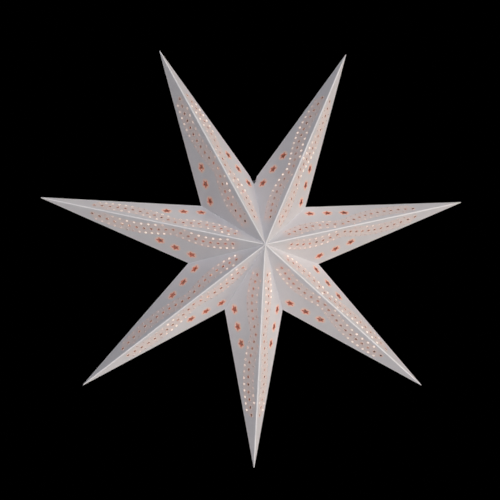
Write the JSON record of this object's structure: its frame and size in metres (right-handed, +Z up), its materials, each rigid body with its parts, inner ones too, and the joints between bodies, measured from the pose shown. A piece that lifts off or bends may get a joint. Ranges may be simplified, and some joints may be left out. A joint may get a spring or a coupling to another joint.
{
  "type": "paper star lantern",
  "caption": "Perforated white paper star lantern that folds flat at its creases, hung by a pendant lampholder with a round lamp inside.",
  "frame": {"origin": "centre of the top face of the lampholder's cord nipple, at the star's top notch, where the lantern hangs from its cord", "axes": "+Z up towards the cord, -Y the way the star's front faces, +X to the right as the front shows it"},
  "size_m": [0.58, 0.1848, 0.5654],
  "materials": {
    "paper": "matte white sheet, punched",
    "hook_and_loop": "nylon pile",
    "black_plastic": "satin moulded",
    "plated_metal": "bright",
    "contact_block": "matte",
    "lamp_insulator": "black glass",
    "lamp_collar": "white moulded",
    "led_board": "white board",
    "opal_glass": "opal, lit"
  },
  "bodies": {
    "lampholder": {"holder_cap": "black_plastic", "cord_nipple": "black_plastic", "nipple_locknut": "plated_metal", "holder_skirt": "black_plastic", "contact_block": "contact_block", "screw_shell": "plated_metal", "centre_contact": "plated_metal", "side_contact": "plated_metal"},
    "lamp": {"lamp_tip": "plated_metal", "lamp_insulator": "lamp_insulator", "lamp_screw_cap": "plated_metal", "lamp_collar": "lamp_collar", "led_board": "led_board", "lamp_globe": "opal_glass"},
    "front_1a": {"front_panel_1a": "paper"},
    "front_2b": {"front_panel_2b": "paper"},
    "front_2a": {"front_panel_2a": "paper"},
    "front_3b": {"front_panel_3b": "paper"},
    "front_3a": {"front_panel_3a": "paper"},
    "front_4b": {"front_panel_4b": "paper"},
    "front_4a": {"front_panel_4a": "paper", "flap_front_right": "paper", "loop_pad_front_right_1": "hook_and_loop", "loop_pad_front_right_2": "hook_and_loop"},
    "front_1b": {"front_panel_1b": "paper"},
    "front_7a": {"front_panel_7a": "paper"},
    "front_7b": {"front_panel_7b": "paper"},
    "front_6a": {"front_panel_6a": "paper"},
    "front_6b": {"front_panel_6b": "paper"},
    "front_5a": {"front_panel_5a": "paper"},
    "front_5b": {"front_panel_5b": "paper", "flap_front_left": "paper", "hook_pad_front_left_1": "hook_and_loop", "hook_pad_front_left_2": "hook_and_loop"},
    "back_1a": {"back_panel_1a": "paper"},
    "back_2b": {"back_panel_2b": "paper"},
    "back_2a": {"back_panel_2a": "paper"},
    "back_3b": {"back_panel_3b": "paper"},
    "back_3a": {"back_panel_3a": "paper"},
    "back_4b": {"back_panel_4b": "paper"},
    "back_4a": {"back_panel_4a": "paper", "flap_back_right": "paper", "loop_pad_back_right_1": "hook_and_loop", "loop_pad_back_right_2": "hook_and_loop"},
    "back_1b": {"back_panel_1b": "paper"},
    "back_7a": {"back_panel_7a": "paper"},
    "back_7b": {"back_panel_7b": "paper"},
    "back_6a": {"back_panel_6a": "paper"},
    "back_6b": {"back_panel_6b": "paper"},
    "back_5a": {"back_panel_5a": "paper"},
    "back_5b": {"back_panel_5b": "paper", "flap_back_left": "paper", "hook_pad_back_left_1": "hook_and_loop", "hook_pad_back_left_2": "hook_and_loop"}
  },
  "joints": [
    {"name": "star_fold", "type": "hinge", "parent": "lampholder", "child": "front_1a", "pos_m": [0, -0.09336, -0.0923], "axis": [0, -0.299, 0.9543], "range_deg": [0, 30.03]},
    {"name": "valley_1_2", "type": "hinge", "parent": "front_1a", "child": "front_2b", "pos_m": [0.00015, -0.09434, -0.09282], "axis": [0.3035, 0.7147, -0.6302], "range_deg": [0, 86.06]},
    {"name": "ridge_2", "type": "hinge", "parent": "front_2b", "child": "front_2a", "pos_m": [-0.00016, -0.09336, -0.09238], "axis": [0.7461, 0.299, -0.595], "range_deg": [-60.07, 0]},
    {"name": "valley_2_3", "type": "hinge", "parent": "front_2a", "child": "front_3b", "pos_m": [0.00034, -0.09434, -0.09258], "axis": [0.6819, 0.7147, -0.1556], "range_deg": [0, 86.06]},
    {"name": "ridge_3", "type": "hinge", "parent": "front_3b", "child": "front_3a", "pos_m": [-0.00019, -0.09336, -0.09254], "axis": [0.9303, 0.299, 0.2123], "range_deg": [-60.07, 0]},
    {"name": "valley_3_4", "type": "hinge", "parent": "front_3a", "child": "front_4b", "pos_m": [0.00027, -0.09434, -0.09228], "axis": [0.5469, 0.7147, 0.4361], "range_deg": [0, 86.06]},
    {"name": "ridge_4", "type": "hinge", "parent": "front_4b", "child": "front_4a", "pos_m": [-0.00009, -0.09336, -0.09268], "axis": [0.414, 0.299, 0.8598], "range_deg": [-60.07, 0]},
    {"name": "ridge_1", "type": "hinge", "parent": "front_1a", "child": "front_1b", "pos_m": [0, -0.09336, -0.0923], "axis": [0, 0.299, -0.9543], "range_deg": [0, 60.07]},
    {"name": "valley_1_7", "type": "hinge", "parent": "front_1b", "child": "front_7a", "pos_m": [-0.00015, -0.09434, -0.09282], "axis": [-0.3035, 0.7147, -0.6302], "range_deg": [-86.06, 0]},
    {"name": "ridge_7", "type": "hinge", "parent": "front_7a", "child": "front_7b", "pos_m": [0.00016, -0.09336, -0.09238], "axis": [-0.7461, 0.299, -0.595], "range_deg": [0, 60.07]},
    {"name": "valley_7_6", "type": "hinge", "parent": "front_7b", "child": "front_6a", "pos_m": [-0.00034, -0.09434, -0.09258], "axis": [-0.6819, 0.7147, -0.1556], "range_deg": [-86.06, 0]},
    {"name": "ridge_6", "type": "hinge", "parent": "front_6a", "child": "front_6b", "pos_m": [0.00019, -0.09336, -0.09254], "axis": [-0.9303, 0.299, 0.2123], "range_deg": [0, 60.07]},
    {"name": "valley_6_5", "type": "hinge", "parent": "front_6b", "child": "front_5a", "pos_m": [-0.00027, -0.09434, -0.09228], "axis": [-0.5469, 0.7147, 0.4361], "range_deg": [-86.06, 0]},
    {"name": "ridge_5", "type": "hinge", "parent": "front_5a", "child": "front_5b", "pos_m": [0.00009, -0.09336, -0.09268], "axis": [-0.414, 0.299, 0.8598], "range_deg": [0, 60.07]},
    {"name": "edge_1a", "type": "hinge", "parent": "front_1a", "child": "back_1a", "pos_m": [0.03992, 0, -0.17539], "axis": [-0.1808, 0, -0.9835], "range_deg": [0, 57.07]},
    {"name": "edge_2b", "type": "hinge", "parent": "front_2b", "child": "back_2b", "pos_m": [0.03992, 0, -0.17539], "axis": [0.8817, 0, -0.4718], "range_deg": [-57.07, 0]},
    {"name": "edge_2a", "type": "hinge", "parent": "front_2a", "child": "back_2a", "pos_m": [0.08969, 0, -0.11297], "axis": [0.6562, 0, -0.7546], "range_deg": [0, 57.07]},
    {"name": "edge_3b", "type": "hinge", "parent": "front_3b", "child": "back_3b", "pos_m": [0.08969, 0, -0.11297], "axis": [0.9186, 0, 0.3951], "range_deg": [-57.07, 0]},
    {"name": "edge_3a", "type": "hinge", "parent": "front_3a", "child": "back_3a", "pos_m": [0.07193, 0, -0.03514], "axis": [0.9991, 0, 0.0426], "range_deg": [0, 57.07]},
    {"name": "edge_4b", "type": "hinge", "parent": "front_4b", "child": "back_4b", "pos_m": [0.07193, 0, -0.03514], "axis": [0.2638, 0, 0.9646], "range_deg": [-57.07, 0]},
    {"name": "edge_4a", "type": "hinge", "parent": "front_4a", "child": "back_4a", "pos_m": [0, 0, -0.0005], "axis": [0.5896, 0, 0.8077], "range_deg": [0, 57.07]},
    {"name": "edge_1b", "type": "hinge", "parent": "front_1b", "child": "back_1b", "pos_m": [-0.03992, 0, -0.17539], "axis": [0.1808, 0, -0.9835], "range_deg": [-57.07, 0]},
    {"name": "edge_7a", "type": "hinge", "parent": "front_7a", "child": "back_7a", "pos_m": [-0.03992, 0, -0.17539], "axis": [-0.8817, 0, -0.4718], "range_deg": [0, 57.07]},
    {"name": "edge_7b", "type": "hinge", "parent": "front_7b", "child": "back_7b", "pos_m": [-0.08969, 0, -0.11297], "axis": [-0.6562, 0, -0.7546], "range_deg": [-57.07, 0]},
    {"name": "edge_6a", "type": "hinge", "parent": "front_6a", "child": "back_6a", "pos_m": [-0.08969, 0, -0.11297], "axis": [-0.9186, 0, 0.3951], "range_deg": [0, 57.07]},
    {"name": "edge_6b", "type": "hinge", "parent": "front_6b", "child": "back_6b", "pos_m": [-0.07193, 0, -0.03514], "axis": [-0.9991, 0, 0.0426], "range_deg": [-57.07, 0]},
    {"name": "edge_5a", "type": "hinge", "parent": "front_5a", "child": "back_5a", "pos_m": [-0.07193, 0, -0.03514], "axis": [-0.2638, 0, 0.9646], "range_deg": [0, 57.07]},
    {"name": "edge_5b", "type": "hinge", "parent": "front_5b", "child": "back_5b", "pos_m": [0, 0, -0.0005], "axis": [-0.5896, 0, 0.8077], "range_deg": [-57.07, 0]},
    {"name": "lamp_slide", "type": "slide", "parent": "lampholder", "child": "lamp", "axis": [0, 0, -1], "range_m": [0, 0.025]}
  ],
  "couplings": [
    {"joint": "valley_1_2", "follows": "star_fold", "ratio": 2.8655},
    {"joint": "ridge_2", "follows": "star_fold", "ratio": -2},
    {"joint": "valley_2_3", "follows": "star_fold", "ratio": 2.8655},
    {"joint": "ridge_3", "follows": "star_fold", "ratio": -2},
    {"joint": "valley_3_4", "follows": "star_fold", "ratio": 2.8655},
    {"joint": "ridge_4", "follows": "star_fold", "ratio": -2},
    {"joint": "ridge_1", "follows": "star_fold", "ratio": 2},
    {"joint": "valley_1_7", "follows": "star_fold", "ratio": -2.8655},
    {"joint": "ridge_7", "follows": "star_fold", "ratio": 2},
    {"joint": "valley_7_6", "follows": "star_fold", "ratio": -2.8655},
    {"joint": "ridge_6", "follows": "star_fold", "ratio": 2},
    {"joint": "valley_6_5", "follows": "star_fold", "ratio": -2.8655},
    {"joint": "ridge_5", "follows": "star_fold", "ratio": 2},
    {"joint": "edge_1a", "follows": "star_fold", "ratio": 1.9001},
    {"joint": "edge_2b", "follows": "star_fold", "ratio": -1.9001},
    {"joint": "edge_2a", "follows": "star_fold", "ratio": 1.9001},
    {"joint": "edge_3b", "follows": "star_fold", "ratio": -1.9001},
    {"joint": "edge_3a", "follows": "star_fold", "ratio": 1.9001},
    {"joint": "edge_4b", "follows": "star_fold", "ratio": -1.9001},
    {"joint": "edge_4a", "follows": "star_fold", "ratio": 1.9001},
    {"joint": "edge_1b", "follows": "star_fold", "ratio": -1.9001},
    {"joint": "edge_7a", "follows": "star_fold", "ratio": 1.9001},
    {"joint": "edge_7b", "follows": "star_fold", "ratio": -1.9001},
    {"joint": "edge_6a", "follows": "star_fold", "ratio": 1.9001},
    {"joint": "edge_6b", "follows": "star_fold", "ratio": -1.9001},
    {"joint": "edge_5a", "follows": "star_fold", "ratio": 1.9001},
    {"joint": "edge_5b", "follows": "star_fold", "ratio": -1.9001}
  ]
}
